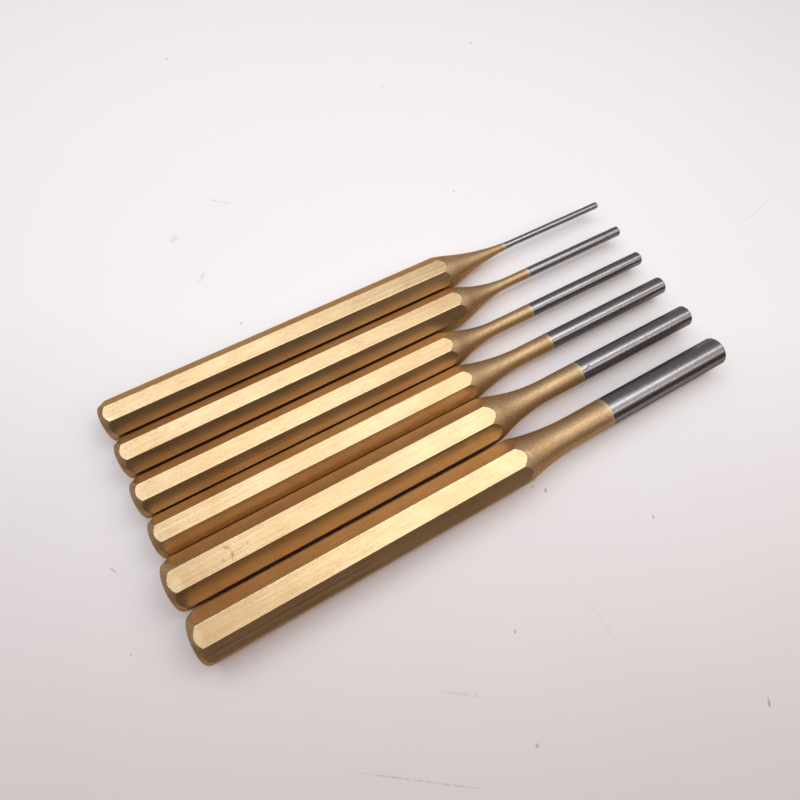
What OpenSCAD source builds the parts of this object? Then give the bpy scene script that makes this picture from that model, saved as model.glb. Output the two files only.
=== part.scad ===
// A set of six pin punches, lying side by side with their heads nearly in line.
// Each is one piece of steel: an octagonal shank, a turned neck and a ground pin.
// +X runs along the punches towards the pins, +Z is up, and the set stands on z = 0.

/* [Shanks] */
// Overall length of every punch
punch_len = 150; // [130:1:200]
// Width across the flats of the four thin punches
small_flats = 10; // [9:0.5:14]
// Width across the flats of the two thick punches
large_flats = 12; // [11:0.5:16]

/* [Pin diameters] */
// Pin of the 2 mm punch
pin_d_2mm = 1.9; // [1.4:0.1:2.4]
// Pin of the 3 mm punch
pin_d_3mm = 2.9; // [2.4:0.1:3.4]
// Pin of the 4 mm punch
pin_d_4mm = 3.9; // [3.4:0.1:4.4]
// Pin of the 5 mm punch
pin_d_5mm = 4.9; // [4.4:0.1:5.4]
// Pin of the 6 mm punch
pin_d_6mm = 5.9; // [5.4:0.1:6.9]
// Pin of the 8 mm punch
pin_d_8mm = 7.9; // [7:0.1:8.9]

/* [Pin lengths] */
// Straight pin of the 2 mm punch, from its tip to the neck
pin_len_2mm = 30; // [20:1:40]
// Straight pin of the 3 mm punch
pin_len_3mm = 39; // [30:1:50]
// Straight pin of the 4 mm punch
pin_len_4mm = 50; // [40:1:60]
// Straight pin of the 5 mm punch
pin_len_5mm = 49; // [40:1:60]
// Straight pin of the 6 mm punch
pin_len_6mm = 49; // [40:1:60]
// Straight pin of the 8 mm punch
pin_len_8mm = 49; // [40:1:60]

/* [Neck hollows] */
// Radius along the 2 mm punch's neck
hollow_r_2mm = 74; // [50:1:90]
// Radius along the 3 mm punch's neck
hollow_r_3mm = 40; // [30:1:70]
// Radius along the 4 mm punch's neck
hollow_r_4mm = 36; // [30:1:70]
// Radius along the 5 mm punch's neck
hollow_r_5mm = 56; // [40:1:80]
// Radius along the 6 mm punch's neck
hollow_r_6mm = 46; // [35:1:80]
// Radius along the 8 mm punch's neck
hollow_r_8mm = 70; // [50:1:90]

/* [Ends] */
// Slope of the cone turned on the head, from the axis
head_angle = 24; // [15:1:40]
// Length of that cone, from the flat end to the shank's edges
head_cone_len = 2.2; // [1.5:0.1:3.5]
// Rounding between that cone and the flat end
head_round_r = 0.8; // [0.3:0.1:1.5]
// Chamfer on each pin's tip
tip_chamfer = 0.3; // [0.1:0.05:0.5]
// Slope of the cone between a shank and its neck, from the axis
shoulder_angle = 14; // [10:1:18]
// How far inside the flats that cone meets the neck's hollow
shoulder_inset = 0.4; // [0.2:0.05:0.8]

/* [Row] */
// Gap between the 2 mm and 3 mm punches
gap_2_3 = 0.66; // [0.4:0.02:0.9]
// Gap between the 3 mm and 4 mm punches
gap_3_4 = 0.64; // [0.4:0.02:0.9]
// Gap between the 4 mm and 5 mm punches
gap_4_5 = 0.48; // [0.4:0.02:0.9]
// Gap between the 5 mm and 6 mm punches
gap_5_6 = 0.52; // [0.4:0.02:0.9]
// Gap between the 6 mm and 8 mm punches
gap_6_8 = 0.82; // [0.4:0.02:0.9]
// How far the 3 mm punch lies ahead of the 2 mm one
slip_3mm = 0.3; // [0:0.1:3]
// How far the 4 mm punch lies ahead of the 2 mm one
slip_4mm = 0.2; // [0:0.1:3]
// How far the 5 mm punch lies ahead of the 2 mm one
slip_5mm = 0.6; // [0:0.1:3]
// How far the 6 mm punch lies ahead of the 2 mm one
slip_6mm = 0.1; // [0:0.1:3]
// How far the 8 mm punch lies ahead of the 2 mm one
slip_8mm = 0.9; // [0:0.1:3]

/* [Hidden] */
lacquer = "#b98f55";
$fn = 48;
// Flats on a shank, and how far a cut runs past what it cuts
sides = 8;
overrun = 1;
// Steps in a whole turn of a hollow, and in the rounding of a head
hollow_steps = 360;
round_steps = 4;

small_pitch = small_flats;
mixed_pitch = (small_flats + large_flats) / 2;
row_w = 4 * small_flats + 2 * large_flats + gap_2_3 + gap_3_4 + gap_4_5 + gap_5_6 + gap_6_8;
row_len = punch_len + max(0, slip_3mm, slip_4mm, slip_5mm, slip_6mm, slip_8mm);

// Where each punch's axis lies across the row, with the thin punches on the +Y side
y_2mm = row_w / 2 - small_flats / 2;
y_3mm = y_2mm - small_pitch - gap_2_3;
y_4mm = y_3mm - small_pitch - gap_3_4;
y_5mm = y_4mm - small_pitch - gap_4_5;
y_6mm = y_5mm - mixed_pitch - gap_5_6;
y_8mm = y_6mm - large_flats - gap_6_8;

// Radius to the edges of an octagonal bar
function edge_r(flats) = flats / 2 / cos(180 / sides);

// Length of a hollow of radius r that climbs this much from the pin
function hollow_len(climb, r) = sqrt(2 * r * climb - climb * climb);

// Corner of the head between its flat end and its cone, rounded, as [radius, height] points
function head_corner(face_r) =
    let(
        half = (90 - head_angle) / 2,
        inset = head_round_r * tan(half),
        centre = [face_r - inset, head_round_r]
    )
    [for (i = [0 : round_steps])
        let(turn = (90 - head_angle) * i / round_steps)
        centre + head_round_r * [sin(turn), -cos(turn)]];

// Half the turned shape, up to where the pin starts. It clears the shank's flats,
// so that only its cones and its hollow cut the bar.
module blank(flats, ring_r, ring_z, neck_end) {
    clear_r = edge_r(flats) + overrun;
    head_r = edge_r(flats) - head_cone_len * tan(head_angle);
    past_ring_r = ring_r - overrun * tan(shoulder_angle);
    polygon(concat(
        [[0, 0]],
        head_corner(head_r),
        [
            [clear_r, head_cone_len + overrun / tan(head_angle)],
            [clear_r, ring_z - (clear_r - ring_r) / tan(shoulder_angle)],
            [past_ring_r, ring_z + overrun],
            [past_ring_r, neck_end],
            [0, neck_end]
        ]
    ));
}

// Half the outline of a punch, with its head at zero
module outline(flats, pin_d, pin_len, hollow_r) {
    neck_end = punch_len - pin_len;
    pin_r = pin_d / 2;
    ring_r = flats / 2 - shoulder_inset;
    ring_z = neck_end - hollow_len(ring_r - pin_r, hollow_r);
    difference() {
        blank(flats, ring_r, ring_z, neck_end);
        translate([pin_r + hollow_r, neck_end])
            circle(r = hollow_r, $fn = hollow_steps);
    }
    polygon([
        [0, neck_end],
        [pin_r, neck_end],
        [pin_r, punch_len - tip_chamfer],
        [pin_r - tip_chamfer, punch_len],
        [0, punch_len]
    ]);
}

// Octagonal bar that stands on its end, with flats facing along X and Y
module bar(flats) {
    rotate(180 / sides)
        cylinder(r = edge_r(flats), h = punch_len + overrun, $fn = sides);
}

// One punch in its place in the row, lying on one of its flats
module punch(flats, pin_d, pin_len, hollow_r, slip, y) {
    translate([slip - row_len / 2, y, flats / 2])
        rotate([0, 90, 0])
            intersection() {
                bar(flats);
                rotate_extrude()
                    outline(flats, pin_d, pin_len, hollow_r);
            }
}

module punch_2mm() {
    color(lacquer)
        punch(small_flats, pin_d_2mm, pin_len_2mm, hollow_r_2mm, 0, y_2mm);
}

module punch_3mm() {
    color(lacquer)
        punch(small_flats, pin_d_3mm, pin_len_3mm, hollow_r_3mm, slip_3mm, y_3mm);
}

module punch_4mm() {
    color(lacquer)
        punch(small_flats, pin_d_4mm, pin_len_4mm, hollow_r_4mm, slip_4mm, y_4mm);
}

module punch_5mm() {
    color(lacquer)
        punch(small_flats, pin_d_5mm, pin_len_5mm, hollow_r_5mm, slip_5mm, y_5mm);
}

module punch_6mm() {
    color(lacquer)
        punch(large_flats, pin_d_6mm, pin_len_6mm, hollow_r_6mm, slip_6mm, y_6mm);
}

module punch_8mm() {
    color(lacquer)
        punch(large_flats, pin_d_8mm, pin_len_8mm, hollow_r_8mm, slip_8mm, y_8mm);
}

punch_2mm();
punch_3mm();
punch_4mm();
punch_5mm();
punch_6mm();
punch_8mm();
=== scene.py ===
import math

import bmesh
import bpy
from mathutils import Matrix, Vector


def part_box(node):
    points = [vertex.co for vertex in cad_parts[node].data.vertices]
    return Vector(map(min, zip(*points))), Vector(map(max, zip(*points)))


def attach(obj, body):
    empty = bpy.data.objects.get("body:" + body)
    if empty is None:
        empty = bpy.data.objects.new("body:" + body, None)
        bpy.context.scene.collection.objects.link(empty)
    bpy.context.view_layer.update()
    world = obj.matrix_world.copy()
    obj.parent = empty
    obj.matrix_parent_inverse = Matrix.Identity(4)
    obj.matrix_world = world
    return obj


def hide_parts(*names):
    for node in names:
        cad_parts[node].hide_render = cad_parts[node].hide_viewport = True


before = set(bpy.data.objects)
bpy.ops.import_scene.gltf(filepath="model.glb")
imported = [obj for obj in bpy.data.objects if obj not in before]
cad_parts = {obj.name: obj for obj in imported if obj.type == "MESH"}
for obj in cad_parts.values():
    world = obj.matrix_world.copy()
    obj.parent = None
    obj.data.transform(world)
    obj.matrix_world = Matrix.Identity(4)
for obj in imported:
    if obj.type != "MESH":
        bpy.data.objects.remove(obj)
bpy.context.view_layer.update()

mm = 0.001


def linearColour(hexCode):
    # sRGB hex to the linear values that Blender works in
    parts = [int(hexCode[i:i + 2], 16) / 255 for i in (1, 3, 5)]
    return [c / 12.92 if c <= 0.04045 else ((c + 0.055) / 1.055) ** 2.4 for c in parts] + [1]


def addNode(tree, kind, links=None, values=None, **settings):
    # links and values both go by the input's name or number
    made = tree.nodes.new(kind)
    for key, value in settings.items():
        setattr(made, key, value)
    for key, value in (values or {}).items():
        made.inputs[key].default_value = value
    for key, source in (links or {}).items():
        tree.links.new(source, made.inputs[key])
    return made


def newMaterial(name):
    made = bpy.data.materials.new(name)
    made.use_nodes = True
    made.node_tree.nodes.clear()
    return made


def addMarks(tree, coords, marks):
    # Each mark is a small oval: its place in mm, half its length, width and depth in mm, the
    # turn of its length from +X in degrees, and how strongly it shows. Gives 0 to 1.
    total = None
    for place, reach, turn, strength in marks:
        local = addNode(tree, "ShaderNodeMapping", {"Vector": coords},
                        {"Location": [c * mm for c in place],
                         "Rotation": (0, 0, math.radians(turn)),
                         "Scale": [c * mm for c in reach]}, vector_type="TEXTURE").outputs[0]
        away = addNode(tree, "ShaderNodeVectorMath", {0: local},
                       operation="LENGTH").outputs["Value"]
        # full strength out to half its reach, then fading to nothing at its edge
        inside = addNode(tree, "ShaderNodeMapRange", {"Value": away},
                         {"From Min": 0.5, "From Max": 1.0,
                          "To Min": strength, "To Max": 0.0}).outputs[0]
        total = inside if total is None else addNode(
            tree, "ShaderNodeMath", {0: total, 1: inside}, operation="MAXIMUM").outputs[0]
    return total


# camera: the photograph's angle, a wide lens close to the set, cropped a little off centre
view = {
    "azimuth": -41.998, "elevation": 68.726, "roll": -13.436,  # degrees
    "place": (-37.918, -39.274, 144.074),                      # mm
    "lens": 25.65, "sensor": 36,                               # mm
    "shift": (-0.03125, -0.01625),
    "clip": (0.01, 20),                                        # m
}


def makeCamera():
    az, el, roll = (math.radians(view[k]) for k in ("azimuth", "elevation", "roll"))
    back = Vector((math.sin(az) * math.cos(el), -math.cos(az) * math.cos(el), math.sin(el)))
    right = (-back).cross(Vector((0, 0, 1))).normalized()
    down = (-back).cross(right)
    turnedRight = math.cos(roll) * right + math.sin(roll) * down
    turnedUp = math.sin(roll) * right - math.cos(roll) * down
    data = bpy.data.cameras.new("productCamera")
    data.sensor_width = view["sensor"]
    data.lens = view["lens"]
    data.shift_x, data.shift_y = view["shift"]
    data.clip_start, data.clip_end = view["clip"]
    camera = bpy.data.objects.new("productCamera", data)
    camera.matrix_world = (
        Matrix.Translation(Vector(view["place"]) * mm)
        @ Matrix((turnedRight, turnedUp, back)).transposed().to_4x4()
    )
    bpy.context.collection.objects.link(camera)
    bpy.context.scene.camera = camera


makeCamera()
print("camera placed")

# the punches: what all six share, then each one's own sizes, in mm and degrees
bar = {
    "edgeRound": 0.25,       # rounding along the eight edges of the drawn bar
    "headCone": 2.2, "headAngle": 24, "headRound": 0.8,
    "ringInset": 0.4, "shoulderAngle": 14,
    "tipChamfer": 0.3,
    "softEdge": 0.12,        # how far each side of a cut edge the shading turns
    "headRub": 2.5,          # how far the flats are rubbed paler from the head
    # the wear values here paint a paler gold: rubbed lacquer, and on the rounded edges partly a
    # painted highlight
    "edgeWearAndHighlight": 0.6,         # how strongly the long edges are rubbed
    "roundWear": 0.7,        # the same on the rounding of the head
    "archWear": 0.8, "pastArchWear": 0.4,  # where the flats start, and just past there
    "neckArchWear": 0.5,     # where the flats end
    "pastFlats": 0.2,        # share of the flats' pattern and wear that runs on past their ends
    "coatLip": 0.03,         # lacquer standing proud where it was masked off
    "coatLipRun": 3.0,       # how far back from its line the lacquer starts to rise
    "lipTurn": 0.75,         # share of the lip that is left where it turns down
    "steelGap": 0.5,         # how near the lacquer's line the steel's own rings may come
    "crisp": 0.04,           # the narrow turns of the shading at the tip's chamfer
    "flatSteps": 8, "edgeSteps": 4, "barSteps": 16, "headSteps": 7, "hollowSteps": 44, "pinStep": 3,
    # rings on the two flat ends, on the head's cone and on the lip, as shares of each
    "headRings": (0.25, 0.5, 0.75, 0.95), "tipRings": (0.55, 0.3), "coneRings": (0.4, 0.85),
    "lipRings": (1, 0.8, 0.6, 0.42, 0.28, 0.16, 0.08, 0.03),
}
punches = {
    "2mm": {"pinWide": 1.9, "pinLong": 30, "hollow": 74, "bare": 34, "softRing": 0.8},
    "3mm": {"pinWide": 2.9, "pinLong": 39, "hollow": 40, "bare": 33, "softRing": 0.8},
    "4mm": {"pinWide": 3.9, "pinLong": 50, "hollow": 36, "bare": 39, "softRing": 0.8},
    "5mm": {"pinWide": 4.9, "pinLong": 49, "hollow": 56, "bare": 40, "softRing": 0.8},
    "6mm": {"pinWide": 5.9, "pinLong": 49, "hollow": 46, "bare": 38, "softRing": 0.25},
    "8mm": {"pinWide": 7.9, "pinLong": 49, "hollow": 70, "bare": 39, "softRing": 0.8},
}
# softRing is how far the shading turns past the faint ring between the short cone and the neck
halfTurn = math.radians(22.5)  # from the middle of a flat to its edge, seen from the axis


def barColumns(flats):
    # lines of points along the bar: the angle, the bar's radius there and how exposed it is
    half, edge, steps = flats / 2, bar["edgeRound"], bar["flatSteps"]
    tangent = (half - edge) * math.tan(halfTurn)
    inner = tangent - bar["softEdge"]
    onFlat = [-tangent, *(-inner + 2 * inner * i / steps for i in range(steps + 1)), tangent]
    columns = []
    for side in range(8):
        face = side * 2 * halfTurn
        for t in onFlat:
            onEdge = float(abs(t) == tangent)
            columns.append((face + math.atan2(t, half), math.hypot(half, t), onEdge))
        centre = (half - edge) / math.cos(halfTurn)
        for i in range(1, bar["edgeSteps"]):
            lean = (2 * i / bar["edgeSteps"] - 1) * halfTurn
            out, across = centre + edge * math.cos(lean), edge * math.sin(lean)
            angle = face + halfTurn + math.atan2(across, out)
            columns.append((angle, math.hypot(out, across), 1.0))
    return columns


def punchRings(flats, length, facts):
    # Rings from the head to the tip. Each is a function of the bar's radius at a column, giving
    # the place along the punch and the radius there, then the wear and painted edge highlight of
    # the whole ring, how much of the column's own wear and highlight it has, and how near it is to
    # the lacquer's edge, where a highlight is painted on its rim.
    pin = facts["pinWide"] / 2
    corner = flats / 2 / math.cos(halfTurn)
    headSlope = math.tan(math.radians(bar["headAngle"]))
    shoulderSlope = math.tan(math.radians(bar["shoulderAngle"]))
    soft, lip = bar["softEdge"], bar["coatLip"]
    neckEnd, line = length - facts["pinLong"], length - facts["bare"]
    ringRadius = flats / 2 - bar["ringInset"]
    climb = ringRadius - pin
    ringPlace = neckEnd - math.sqrt(2 * facts["hollow"] * climb - climb * climb)
    rings = []

    def addRing(x, radius, wearAndHighlight=0.0, rimHighlight=0.0):
        rings.append((lambda barRadius: (x, radius), wearAndHighlight, 0.0, rimHighlight))

    # the flat end and the rounding between it and the cone turned on the head
    rounding, cornerTurn = bar["headRound"], math.radians(90 - bar["headAngle"])
    flatEnd = corner - bar["headCone"] * headSlope - rounding * math.tan(cornerTurn / 2)
    for share in bar["headRings"]:
        addRing(0, flatEnd * share)
    for i in range(bar["headSteps"] + 1):
        turn = cornerTurn * i / bar["headSteps"]
        coneStart = rounding * (1 - math.cos(turn)), flatEnd + rounding * math.sin(turn)
        addRing(*coneStart, wearAndHighlight=bar["roundWear"] * math.sin(math.pi * i / bar["headSteps"]))

    # the cone on the head, the bar's flats and the short cone before the neck, which meet the
    # flats in arches because the bar's radius changes round it
    def headArch(barRadius):
        return bar["headCone"] - (corner - barRadius) / headSlope

    def neckArch(barRadius):
        return ringPlace - (barRadius - ringRadius) / shoulderSlope

    def headConeAt(share):
        def at(barRadius):
            x = coneStart[0] + (headArch(barRadius) - coneStart[0]) * share
            return x, coneStart[1] + (x - coneStart[0]) * headSlope
        return at

    def barAt(share, offset=0.0):
        def at(barRadius):
            start, end = headArch(barRadius), neckArch(barRadius)
            return start + (end - start) * share + offset, barRadius
        return at

    def shoulderAt(share, offset=0.0):
        def at(barRadius):
            x = neckArch(barRadius) + (ringPlace - neckArch(barRadius)) * share + offset
            return x, ringRadius + (ringPlace - x) * shoulderSlope
        return at

    onCone, beforeArch = bar["coneRings"]
    rings += [(headConeAt(onCone), 0.0, 0.0, 0.0),
              (headConeAt(beforeArch), 0.0, bar["pastFlats"], 0.0)]
    rings += [(barAt(0), bar["archWear"], 1.0, 0.0),
              (barAt(0, soft), bar["pastArchWear"], 1.0, 0.0),
              (barAt(0, bar["headRub"]), 0.0, 1.0, 0.0)]
    for i in range(1, bar["barSteps"]):
        rings.append((barAt(i / bar["barSteps"]), 0.0, 1.0, 0.0))
    rings += [(barAt(1, -soft), 0.0, 1.0, 0.0), (barAt(1), bar["neckArchWear"], 1.0, 0.0)]
    rings += [(shoulderAt(0, soft), 0.0, bar["pastFlats"], 0.0),
              (shoulderAt(0.5), 0.0, 0.0, 0.0), (shoulderAt(1), 0.0, 0.0, 0.0)]

    # the hollow of the neck, then the pin: under lacquer up to its line, bare from there
    def turned(x):
        if x >= neckEnd:
            return pin
        return pin + facts["hollow"] - math.sqrt(facts["hollow"] ** 2 - (neckEnd - x) ** 2)

    places = [neckEnd]
    for i in range(1, bar["hollowSteps"]):
        pastRing = (neckEnd - ringPlace) * i / bar["hollowSteps"]
        if pastRing > facts["softRing"]:
            places.append(ringPlace + pastRing)
    places.append(ringPlace + facts["softRing"])
    pinSteps = range(bar["pinStep"], int(facts["pinLong"]) - 1, bar["pinStep"])
    places += [neckEnd + step for step in pinSteps]
    places.sort()
    for x in [p for p in places if p < line - bar["coatLipRun"]]:
        addRing(x, turned(x))
    for share in bar["lipRings"]:
        # the painted highlight of the rim shows on the last third of the rise
        x = line - bar["coatLipRun"] * share
        addRing(x, turned(x) + lip * (1 - share) ** 2, rimHighlight=max(0.0, 1 - share * 3))
    addRing(line - lip, turned(line) + lip * bar["lipTurn"], rimHighlight=1.0)
    addRing(line, turned(line), rimHighlight=1.0)
    steelStart = len(rings) - 1
    addRing(line + lip, turned(line + lip))
    for x in [p for p in places if p > line + bar["steelGap"]]:
        addRing(x, turned(x))

    # the chamfer on the tip and the flat end
    chamfer, crisp = bar["tipChamfer"], bar["crisp"]
    for x, radius in (
        (length - chamfer - 3 * crisp, pin), (length - chamfer - crisp, pin),
        (length - chamfer + crisp, pin - crisp), (length - crisp, pin - chamfer + crisp),
        (length, pin - chamfer - crisp), *((length, pin * share) for share in bar["tipRings"]),
    ):
        addRing(x, radius)
    return rings, steelStart


def punchMesh(name, facts):
    low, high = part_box("punch_" + name)
    size, middle = (high - low) / mm, (high + low) / 2 / mm
    columns = barColumns(size.z)
    rings, steelStart = punchRings(size.z, size.x, facts)
    mesh = bmesh.new()
    # paler gold along the edges: rubbed lacquer, and partly a painted highlight on their rounding
    wearAndHighlightLayer = mesh.verts.layers.float.new("edgeWearAndHighlight")
    # a painted highlight along the rim where the lacquer was masked off
    rimHighlightLayer = mesh.verts.layers.float.new("paintedRimHighlight")
    drawnLayer = mesh.verts.layers.float.new("drawnFlat")

    def addPoint(x, radius, angle):
        across, up = radius * math.sin(angle), radius * math.cos(angle)
        return mesh.verts.new(Vector((low.x / mm + x, middle.y + across, middle.z + up)) * mm)

    loops = []
    for at, ringWearAndHighlight, columnShare, rimHighlight in rings:
        loop = []
        for angle, barRadius, columnWearAndHighlight in columns:
            point = addPoint(*at(barRadius), angle)
            point[wearAndHighlightLayer] = max(ringWearAndHighlight, bar["edgeWearAndHighlight"] * columnWearAndHighlight * columnShare)
            point[rimHighlightLayer] = rimHighlight
            point[drawnLayer] = columnShare
            loop.append(point)
        loops.append(loop)
    count = len(columns)
    for i, (near, far) in enumerate(zip(loops, loops[1:])):
        for j in range(count):
            k = (j + 1) % count
            face = mesh.faces.new((near[j], near[k], far[k], far[j]))
            face.material_index = int(i >= steelStart)
    for loop, x, slot in ((loops[0], 0, 0), (loops[-1], size.x, 1)):
        centre = addPoint(x, 0, 0)
        for j in range(count):
            mesh.faces.new((centre, loop[j], loop[(j + 1) % count])).material_index = slot
    bmesh.ops.recalc_face_normals(mesh, faces=mesh.faces)
    for face in mesh.faces:
        face.smooth = True
    made = bpy.data.meshes.new("punch" + name)
    mesh.to_mesh(made)
    mesh.free()
    return made


# where most of a noise's values lie
noiseSpan = {"From Min": 0.3, "From Max": 0.7}

# finishes: gold lacquer down to its line on the pin, bare steel from there
lacquer = {
    "gold": "#bf9b72", "paleGold": "#c7a57c", "deepGold": "#8c6036",
    # the paler gold here is rubbed lacquer and also a painted highlight on the edges and the
    # lacquer's rim
    "rubbedAndHighlight": "#dcc9a4", "soot": "#6e4618",
    "grazing": "#cbae89",     # at a low angle lacquer turns browner, not white as bare metal would
    "grain": 0.26,      # mm, the blasted grain under the lacquer, drawn as coarse as it shows
    "lines": 0.28,      # mm across, marks that the drawing die left along the bar
    "lineStretch": 9,   # how many times longer than wide those marks are
    "streaks": 0.5,     # mm across, broader and much longer marks of the same die
    "streakStretch": 50,
    "clouds": 9,        # mm, where the spray lies thicker or thinner
    "roughness": 0.37,
    "turnedRoughness": 0.15,  # more where the steel was blasted
    "sheenSpread": (0.06, -0.05),  # added to the roughness, in the hollows and on the heights
    "wander": 1.0,            # mm, how far the grain moves the edge of a mark
    "linesOnFlats": 0.45,     # share of the lines in a flat's pattern, where the rest is grain
    "cloudTone": {"From Min": 0.35, "From Max": 0.65},
    "depth": {"To Min": 0.42, "To Max": 0.32},  # how dark the hollows get, turned and on the flats
    "hollows": {"From Min": 0.28, "From Max": 0.56, "To Max": 0.0},
    "streakHollows": {"From Min": 0.45, "From Max": 0.7, "To Max": 0.22},
    "patchy": {"From Min": 0.36, "From Max": 0.6},                    # rubbed places
    "broken": {"From Min": 0.36, "From Max": 0.6, "To Min": 0.35},    # stains
    "rubStrength": 0.75,
    "streakRelief": {"Strength": 1.0, "Distance": 0.06 * mm},
    "patternRelief": {"Strength": 0.4, "Distance": 0.03 * mm},
    # place, reach, turn and strength, as addMarks takes them
    "stains": [
        ((-60.6, -13.5, 12), (1.0, 0.5, 0.4), -25, 0.6),
        ((-60.0, -15.5, 12), (0.4, 1.3, 0.4), -15, 0.6),
        ((-62.1, -15.9, 12), (0.4, 0.7, 0.4), 25, 0.35),
        ((-56.2, -14.9, 12), (0.36, 0.3, 0.4), 0, 1.0),
        ((-58.1, -15.0, 12), (2.2, 0.24, 0.4), 8, 0.45),
        ((8.7, -27.7, 12), (0.3, 0.28, 0.4), 0, 1.0),
        ((8.1, -26.6, 12), (0.22, 0.3, 0.4), 0, 0.7),
        ((9.3, -26.9, 11.9), (0.2, 0.22, 0.4), 0, 0.7),
        ((8.1, 19.0, 10), (0.2, 0.26, 0.4), 0, 0.8),
        ((14.8, 19.4, 10), (0.2, 0.2, 0.4), 0, 0.7),
        ((6.1, 26.4, 10), (0.3, 0.2, 0.4), 0, 0.7),
        ((22.2, -27.1, 10.6), (0.22, 0.22, 0.8), 0, 0.8),
    ],
    "rubs": [
        ((-72.6, -15.6, 12), (1.6, 2.2, 0.8), 0, 0.4),
        ((-72.8, -27.4, 12), (1.8, 2.4, 0.8), 0, 0.45),
        ((-73.3, 27.0, 10), (0.6, 0.6, 0.6), 0, 0.9),
        ((10.6, -28.0, 12), (0.5, 2.2, 0.8), 12, 0.7),
    ],
}


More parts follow.
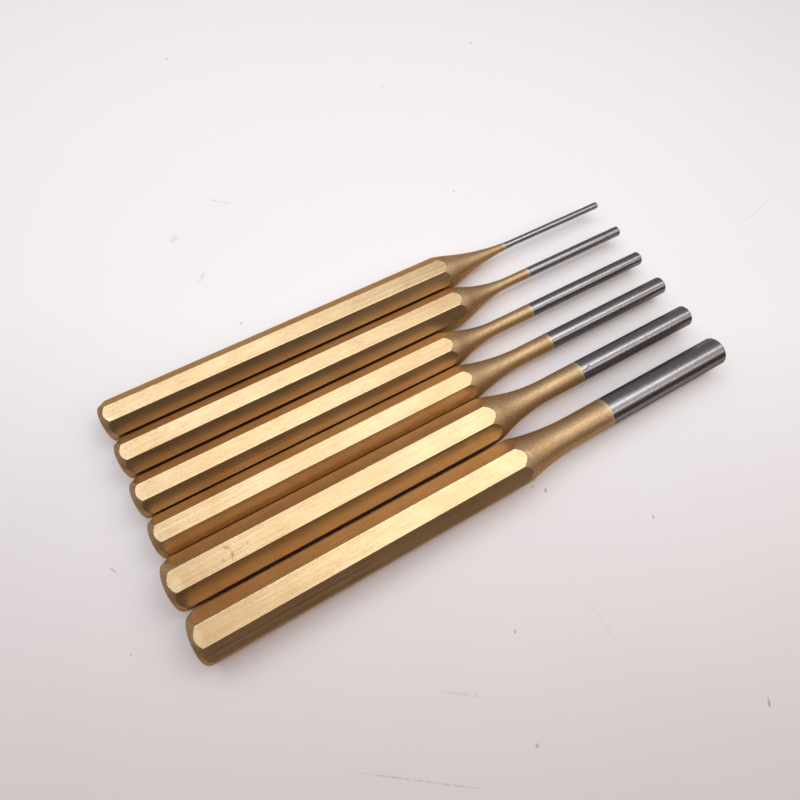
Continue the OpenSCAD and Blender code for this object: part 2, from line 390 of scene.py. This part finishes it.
def lacquerMaterial():
    # Gold metallic lacquer, sprayed over steel that was drawn on its flats and blasted where
    # it is turned. The eye gets a satin sheen that spreads wide, fine lines and long streaks
    # along the flats, a fine grain on the neck, and a paler gold where the edges are rubbed,
    # which is also painted highlight along the rounded edges and the lacquer's rim.
    made = newMaterial("goldMetallicLacquer")
    tree = made.node_tree
    coords = addNode(tree, "ShaderNodeTexCoord").outputs["Object"]
    along = addNode(tree, "ShaderNodeMapping", {"Vector": coords},
                    {"Scale": (1 / lacquer["lineStretch"], 1, 1)}).outputs["Vector"]
    grain = addNode(tree, "ShaderNodeTexNoise", {"Vector": coords},
                    {"Scale": 0.5 / (lacquer["grain"] * mm), "Detail": 2.0, "Roughness": 0.6})
    lines = addNode(tree, "ShaderNodeTexNoise", {"Vector": along},
                    {"Scale": 0.5 / (lacquer["lines"] * mm), "Detail": 3.0,
                     "Roughness": 0.6}).outputs["Fac"]
    farAlong = addNode(tree, "ShaderNodeMapping", {"Vector": coords},
                       {"Scale": (1 / lacquer["streakStretch"], 1, 1)}).outputs["Vector"]
    streaks = addNode(tree, "ShaderNodeTexNoise", {"Vector": farAlong},
                      {"Scale": 0.5 / (lacquer["streaks"] * mm), "Detail": 3.0,
                       "Roughness": 0.6}).outputs["Fac"]
    clouds = addNode(tree, "ShaderNodeTexNoise", {"Vector": coords},
                     {"Scale": 1 / (lacquer["clouds"] * mm), "Detail": 3.0}).outputs["Fac"]
    # edges painted paler, for rubbed lacquer and partly as a painted highlight on their rounding
    wearAndHighlight = addNode(tree, "ShaderNodeAttribute", attribute_name="edgeWearAndHighlight").outputs["Fac"]
    # the lacquer's rim painted paler as a highlight
    rimHighlight = addNode(tree, "ShaderNodeAttribute", attribute_name="paintedRimHighlight").outputs["Fac"]
    drawn = addNode(tree, "ShaderNodeAttribute", attribute_name="drawnFlat").outputs["Fac"]
    # the edge of a mark follows the grain
    far = lacquer["wander"] * mm
    wander = addNode(tree, "ShaderNodeVectorMath", {0: grain.outputs["Color"], 2: coords},
                     {1: (far, far, 0.0)}, operation="MULTIPLY_ADD").outputs[0]
    wander = addNode(tree, "ShaderNodeVectorMath", {0: wander}, {1: (far / 2, far / 2, 0.0)},
                     operation="SUBTRACT").outputs[0]
    stains = addMarks(tree, wander, lacquer["stains"])
    rubs = addMarks(tree, wander, lacquer["rubs"])
    grain = grain.outputs["Fac"]

    # colour: clouds of two golds, darker in the hollows of the grain, lines and streaks, pale
    # where rubbed and where a highlight is painted on the edges and the lacquer's rim, and brown
    # where stained
    tone = addNode(tree, "ShaderNodeMapRange", {"Value": clouds}, lacquer["cloudTone"]).outputs[0]
    colour = addNode(tree, "ShaderNodeMix", {0: tone},
                     {6: linearColour(lacquer["gold"]), 7: linearColour(lacquer["paleGold"])},
                     data_type="RGBA").outputs[2]
    pattern = addNode(tree, "ShaderNodeMath", {0: drawn}, {1: lacquer["linesOnFlats"]},
                      operation="MULTIPLY").outputs[0]
    pattern = addNode(tree, "ShaderNodeMix", {0: pattern, 2: grain, 3: lines},
                      data_type="FLOAT").outputs[0]
    depth = addNode(tree, "ShaderNodeMapRange", {"Value": drawn}, lacquer["depth"]).outputs[0]
    dark = addNode(tree, "ShaderNodeMapRange", {"Value": pattern, "To Min": depth},
                   lacquer["hollows"]).outputs[0]
    streaks = addNode(tree, "ShaderNodeMath", {0: streaks, 1: drawn},
                      operation="MULTIPLY").outputs[0]
    streakDark = addNode(tree, "ShaderNodeMapRange", {"Value": streaks},
                         lacquer["streakHollows"]).outputs[0]
    dark = addNode(tree, "ShaderNodeMath", {0: dark, 1: streakDark}, operation="MAXIMUM").outputs[0]
    colour = addNode(tree, "ShaderNodeMix", {0: dark, 6: colour},
                     {7: linearColour(lacquer["deepGold"])}, data_type="RGBA").outputs[2]
    patchy = addNode(tree, "ShaderNodeMapRange", {"Value": grain}, lacquer["patchy"]).outputs[0]
    # paler gold where rubbed, and as a painted highlight on the edges and the lacquer's rim
    rubbedAndHighlight = addNode(tree, "ShaderNodeMath", {0: wearAndHighlight, 1: patchy}, operation="MULTIPLY").outputs[0]
    rubbedAndHighlight = addNode(tree, "ShaderNodeMath", {0: rubbedAndHighlight, 1: rimHighlight}, operation="MAXIMUM").outputs[0]
    rubbedAndHighlight = addNode(tree, "ShaderNodeMath", {0: rubbedAndHighlight, 1: rubs}, operation="MAXIMUM").outputs[0]
    rubbedAndHighlight = addNode(tree, "ShaderNodeMath", {0: rubbedAndHighlight}, {1: lacquer["rubStrength"]},
                     operation="MULTIPLY").outputs[0]
    colour = addNode(tree, "ShaderNodeMix", {0: rubbedAndHighlight, 6: colour},
                     {7: linearColour(lacquer["rubbedAndHighlight"])}, data_type="RGBA").outputs[2]
    broken = addNode(tree, "ShaderNodeMapRange", {"Value": grain}, lacquer["broken"]).outputs[0]
    stains = addNode(tree, "ShaderNodeMath", {0: stains, 1: broken},
                     operation="MULTIPLY").outputs[0]
    colour = addNode(tree, "ShaderNodeMix", {0: stains, 6: colour},
                     {7: linearColour(lacquer["soot"])}, data_type="RGBA").outputs[2]

    # roughness and relief: the grain breaks up the sheen, and the drawn lines stretch it
    rougher, smoother = (lacquer["roughness"] + change for change in lacquer["sheenSpread"])
    spread = addNode(tree, "ShaderNodeMapRange", {"Value": pattern},
                     {**noiseSpan, "To Min": rougher, "To Max": smoother}).outputs[0]
    turned = addNode(tree, "ShaderNodeMapRange", {"Value": drawn},
                     {"To Min": lacquer["turnedRoughness"], "To Max": 0.0}).outputs[0]
    spread = addNode(tree, "ShaderNodeMath", {0: spread, 1: turned}, operation="ADD").outputs[0]
    relief = addNode(tree, "ShaderNodeBump", {"Height": streaks},
                     lacquer["streakRelief"]).outputs["Normal"]
    relief = addNode(tree, "ShaderNodeBump", {"Height": pattern, "Normal": relief},
                     lacquer["patternRelief"]).outputs["Normal"]
    shader = addNode(tree, "ShaderNodeBsdfPrincipled",
                     {"Base Color": colour, "Roughness": spread, "Normal": relief},
                     {"Metallic": 1.0, "Specular Tint": linearColour(lacquer["grazing"])})
    addNode(tree, "ShaderNodeOutputMaterial", {"Surface": shader.outputs[0]})
    return made


steel = {
    "ground": "#979090", "dull": "#888282", "stain": "#5d5653",
    "grazing": "#8c8886",     # dulled, so its edges stay dark
    "grooves": 0.14,    # mm, marks round the pin from grinding, drawn as coarse as they show
    "grooveStretch": 7,
    "scratches": 0.25,  # mm across, lengthwise handling marks
    "scratchStretch": 20,
    "patches": 4,       # mm, handling stains
    "stained": {"From Min": 0.6, "From Max": 0.75, "To Min": 0.0, "To Max": 0.4},
    "roughness": 0.28,
    "sheenSpread": (0.06, -0.03),  # added to the roughness in the grooves and between them
    "scratchHeight": 0.1, "pitHeight": -8.0,  # beside the grooves, which are 1
    "relief": {"Strength": 0.2, "Distance": 0.02 * mm},
    "pits": [
        ((38.9, -15.2, 8.9), (0.55, 0.3, 0.6), 15, 1.0),
        ((37.9, -15.6, 8.9), (0.8, 0.35, 0.6), 15, 0.45),
    ],
}


def steelMaterial():
    # Bare ground steel, taken to be tool steel: dark grey, with fine marks round the pin that
    # smear the highlights along it.
    made = newMaterial("groundToolSteel")
    tree = made.node_tree
    coords = addNode(tree, "ShaderNodeTexCoord").outputs["Object"]
    shrink = 1 / steel["grooveStretch"]
    across = addNode(tree, "ShaderNodeMapping", {"Vector": coords},
                     {"Scale": (1, shrink, shrink)}).outputs["Vector"]
    along = addNode(tree, "ShaderNodeMapping", {"Vector": coords},
                    {"Scale": (1 / steel["scratchStretch"], 1, 1)}).outputs["Vector"]
    grooves = addNode(tree, "ShaderNodeTexNoise", {"Vector": across},
                      {"Scale": 0.5 / (steel["grooves"] * mm), "Detail": 3.0,
                       "Roughness": 0.7}).outputs["Fac"]
    scratches = addNode(tree, "ShaderNodeTexNoise", {"Vector": along},
                        {"Scale": 0.5 / (steel["scratches"] * mm), "Detail": 3.0,
                         "Roughness": 0.65}).outputs["Fac"]
    patches = addNode(tree, "ShaderNodeTexNoise", {"Vector": coords},
                      {"Scale": 1 / (steel["patches"] * mm), "Detail": 4.0,
                       "Roughness": 0.6}).outputs["Fac"]
    pits = addMarks(tree, coords, steel["pits"])
    tone = addNode(tree, "ShaderNodeMapRange", {"Value": scratches}, noiseSpan).outputs[0]
    colour = addNode(tree, "ShaderNodeMix", {0: tone},
                     {6: linearColour(steel["dull"]), 7: linearColour(steel["ground"])},
                     data_type="RGBA").outputs[2]
    stain = addNode(tree, "ShaderNodeMapRange", {"Value": patches}, steel["stained"]).outputs[0]
    stain = addNode(tree, "ShaderNodeMath", {0: stain, 1: pits}, operation="MAXIMUM").outputs[0]
    colour = addNode(tree, "ShaderNodeMix", {0: stain, 6: colour},
                     {7: linearColour(steel["stain"])}, data_type="RGBA").outputs[2]
    rougher, smoother = (steel["roughness"] + change for change in steel["sheenSpread"])
    spread = addNode(tree, "ShaderNodeMapRange", {"Value": grooves},
                     {**noiseSpan, "To Min": rougher, "To Max": smoother}).outputs[0]
    height = addNode(tree, "ShaderNodeMath", {0: scratches, 2: grooves},
                     {1: steel["scratchHeight"]}, operation="MULTIPLY_ADD").outputs[0]
    height = addNode(tree, "ShaderNodeMath", {0: pits, 2: height},
                     {1: steel["pitHeight"]}, operation="MULTIPLY_ADD").outputs[0]
    relief = addNode(tree, "ShaderNodeBump", {"Height": height}, steel["relief"]).outputs["Normal"]
    shader = addNode(tree, "ShaderNodeBsdfPrincipled",
                     {"Base Color": colour, "Roughness": spread, "Normal": relief},
                     {"Metallic": 1.0, "Specular Tint": linearColour(steel["grazing"])})
    addNode(tree, "ShaderNodeOutputMaterial", {"Surface": shader.outputs[0]})
    return made


goldLacquer, groundSteel = lacquerMaterial(), steelMaterial()
print("finishes made")

for name, facts in punches.items():
    mesh = punchMesh(name, facts)
    mesh.materials.append(goldLacquer)
    mesh.materials.append(groundSteel)
    punch = bpy.data.objects.new("punch" + name, mesh)
    bpy.context.collection.objects.link(punch)
    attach(punch, "punch_" + name)
    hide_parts("punch_" + name)
    print("punch", name, "with", len(mesh.polygons), "faces")

# the table top
board = {
    "size": 9000, "step": 250,                                # mm
    # the near colour is painted shade, not the board's own colour: its white greyed towards the
    # near side
    "white": "#f1e4df", "near": "#d6c5c0", "scuff": "#8d8486",
    "paintedShadeAxis": (0.48, 0.88, 0),
    # where the painted shade starts and where it is full, in mm along the axis above
    "paintedShadeFrom": 25, "paintedShadeFull": -92,                           # mm along paintedShadeAxis, where it greys
    "clouds": 45, "cloudShift": 18, "grain": 0.8,             # mm
    "broken": {"From Min": 0.35, "From Max": 0.6},            # specks and scratches
    "relief": {"Strength": 0.1, "Distance": 0.02 * mm},
    "roughness": 0.6,
    # place, reach, turn and strength, as addMarks takes them
    "scuffs": [
        ((13.3, -36.9, 0), (0.45, 0.8, 1), -25, 1.0), ((11.0, -34.4, 0), (0.9, 0.6, 1), 30, 0.4),
        ((12.3, -33.2, 0), (0.5, 0.5, 1), 0, 0.35), ((-20.1, -83.3, 0), (0.6, 0.6, 1), 0, 1.0),
        ((32.5, -104.3, 0), (0.4, 1.6, 1), -30, 0.9), ((-11.9, -61.4, 0), (0.3, 0.9, 1), -30, 0.8),
        ((34.4, -56.3, 0), (0.4, 0.9, 1), -20, 0.6), ((-42.3, 75.8, 0), (1.6, 1.6, 1), 0, 0.3),
        ((-40.0, 60.5, 0), (0.7, 2.4, 1), -50, 0.3),
        ((-26.0, 82.6, 0), (5.0, 0.25, 1), -38, 0.35),
        ((40.0, 103.4, 0), (0.5, 0.5, 1), 0, 0.9), ((40.0, 55.4, 0), (0.3, 0.6, 1), -20, 0.8),
        ((-45.7, -76.0, 0), (19.0, 0.22, 1), -37, 0.5),
        ((-29.1, -66.5, 0), (6.0, 0.5, 1), -36, 0.22),
        ((-87.0, -3.4, 0), (1.4, 0.3, 1), -60, 0.55), ((-36.1, 42.3, 0), (0.6, 0.5, 1), 0, 0.5),
        ((28.0, -18.0, 0), (0.3, 0.4, 1), 0, 0.5), ((8.0, -70.0, 0), (17.0, 0.18, 1), -86, 0.16),
        ((-89.5, -22.5, 0), (0.4, 0.4, 1), 0, 0.6), ((78.3, 108.5, 0), (0.6, 0.5, 1), 0, 0.6),
        ((-19.2, 142.7, 0), (0.7, 0.6, 1), 0, 0.5), ((126.0, 5.5, 0), (11.0, 0.25, 1), 12, 0.25),
    ],
}


def boardMaterial():
    # White melamine board: matt, with painted shade that greys it towards its near side, soft
    # clouds, and the specks and scratches of a bench top.
    made = newMaterial("whiteMelamineBoard")
    tree = made.node_tree
    coords = addNode(tree, "ShaderNodeTexCoord").outputs["Object"]
    clouds = addNode(tree, "ShaderNodeTexNoise", {"Vector": coords},
                     {"Scale": 1 / (board["clouds"] * mm), "Detail": 4.0,
                      "Roughness": 0.6}).outputs["Fac"]
    grain = addNode(tree, "ShaderNodeTexNoise", {"Vector": coords},
                    {"Scale": 1 / (board["grain"] * mm), "Detail": 2.0}).outputs["Fac"]
    # how far into the painted shade towards the near side, shifted a little by the clouds
    paintedShadeShare = addNode(tree, "ShaderNodeVectorMath", {0: coords}, {1: board["paintedShadeAxis"]},
                       operation="DOT_PRODUCT").outputs["Value"]
    paintedShadeShare = addNode(tree, "ShaderNodeMath", {0: clouds, 2: paintedShadeShare},
                       {1: -board["cloudShift"] * mm}, operation="MULTIPLY_ADD").outputs[0]
    meanShift = board["cloudShift"] / 2
    paintedShadeShare = addNode(tree, "ShaderNodeMapRange", {"Value": paintedShadeShare},
                       {"From Min": (board["paintedShadeFrom"] - meanShift) * mm,
                        "From Max": (board["paintedShadeFull"] - meanShift) * mm}).outputs[0]
    # painted shade: the white greyed towards the near colour
    colour = addNode(tree, "ShaderNodeMix", {0: paintedShadeShare},
                     {6: linearColour(board["white"]), 7: linearColour(board["near"])},
                     data_type="RGBA").outputs[2]
    scuffs = addMarks(tree, coords, board["scuffs"])
    broken = addNode(tree, "ShaderNodeMapRange", {"Value": grain}, board["broken"]).outputs[0]
    scuffs = addNode(tree, "ShaderNodeMath", {0: scuffs, 1: broken},
                     operation="MULTIPLY").outputs[0]
    colour = addNode(tree, "ShaderNodeMix", {0: scuffs, 6: colour},
                     {7: linearColour(board["scuff"])}, data_type="RGBA").outputs[2]
    relief = addNode(tree, "ShaderNodeBump", {"Height": grain}, board["relief"]).outputs["Normal"]
    shader = addNode(tree, "ShaderNodeBsdfPrincipled", {"Base Color": colour, "Normal": relief},
                     {"Roughness": board["roughness"]})
    addNode(tree, "ShaderNodeOutputMaterial", {"Surface": shader.outputs[0]})
    return made


def makeBoard():
    mesh = bmesh.new()
    steps = int(board["size"] / board["step"])
    bmesh.ops.create_grid(mesh, x_segments=steps, y_segments=steps, size=board["size"] / 2 * mm)
    made = bpy.data.meshes.new("tableBoard")
    mesh.to_mesh(made)
    mesh.free()
    made.materials.append(boardMaterial())
    tableBoard = bpy.data.objects.new("tableBoard", made)
    bpy.context.collection.objects.link(tableBoard)


makeBoard()
print("table made")

# light: a soft panel close over the set, a dim one behind the camera that the slopes show by
# their second reflection, another beyond the pins with two bright tubes in it, and a room that
# is darker towards -Y
light = {
    # aim, place and size in mm, the way its length runs, its colour, and its radiance, where
    # white paper is 1
    "overhead": {"aim": (-26, 70, 0), "place": (-14, 129, 360), "along": (0.8, -0.6, 0),
                 "size": (516, 272), "radiance": 3.0, "colour": "#e0f2ff"},
    "behind": {"aim": (-60, -30, 0), "place": (-130, -110, 360), "along": (1, 0, 0),
               "size": (340, 240), "radiance": 1.2, "colour": "#ffffff"},
    "beyond": {"aim": (50, -5, 5), "place": (314, -183, 452), "along": (1, 0, 0),
               "size": (260, 470), "radiance": 1.1, "colour": "#ffffff"},
    "tubeNear": {"aim": (50, -5, 5), "place": (310, -14, 480), "along": (1, 0, 0),
                 "size": (300, 50), "radiance": 7.4, "colour": "#ffffff"},
    "tubeFar": {"aim": (50, -5, 5), "place": (310, -325, 368), "along": (1, 0, 0),
                "size": (300, 45), "radiance": 4.0, "colour": "#ffffff"},
}
room = {
    "bright": "#989596", "dim": "#3b2d23",
    "turn": {"From Min": -0.6, "From Max": 0.2},  # how far a direction leans to +Y, dim to bright
}


def addPanel(name, facts):
    width, height = (side * mm for side in facts["size"])
    data = bpy.data.lights.new(name, "AREA")
    data.shape = "RECTANGLE"
    data.size, data.size_y = width, height
    data.energy = facts["radiance"] * math.pi * width * height
    data.color = linearColour(facts["colour"])[:3]
    panel = bpy.data.objects.new(name, data)
    place, aim = (Vector(facts[k]) * mm for k in ("place", "aim"))
    away = (place - aim).normalized()
    across = away.cross(Vector(facts["along"])).normalized()
    panel.matrix_world = (
        Matrix.Translation(place) @ Matrix((across.cross(away), across, away)).transposed().to_4x4()
    )
    panel.visible_camera = False
    bpy.context.collection.objects.link(panel)


def makeRoom():
    world = bpy.data.worlds.new("room")
    bpy.context.scene.world = world
    world.use_nodes = True
    tree = world.node_tree
    tree.nodes.clear()
    coords = addNode(tree, "ShaderNodeTexCoord").outputs["Generated"]
    parts = addNode(tree, "ShaderNodeSeparateXYZ", {0: coords})
    across = addNode(tree, "ShaderNodeMapRange", {"Value": parts.outputs["Y"]}, room["turn"],
                     interpolation_type="SMOOTHSTEP").outputs[0]
    colour = addNode(tree, "ShaderNodeMix", {0: across},
                     {6: linearColour(room["dim"]), 7: linearColour(room["bright"])},
                     data_type="RGBA").outputs[2]
    background = addNode(tree, "ShaderNodeBackground", {"Color": colour}, {"Strength": 1.0})
    addNode(tree, "ShaderNodeOutputWorld", {"Surface": background.outputs[0]})


for name, facts in light.items():
    addPanel(name, facts)
makeRoom()
bpy.context.scene.view_settings.view_transform = "Standard"
print("lit")
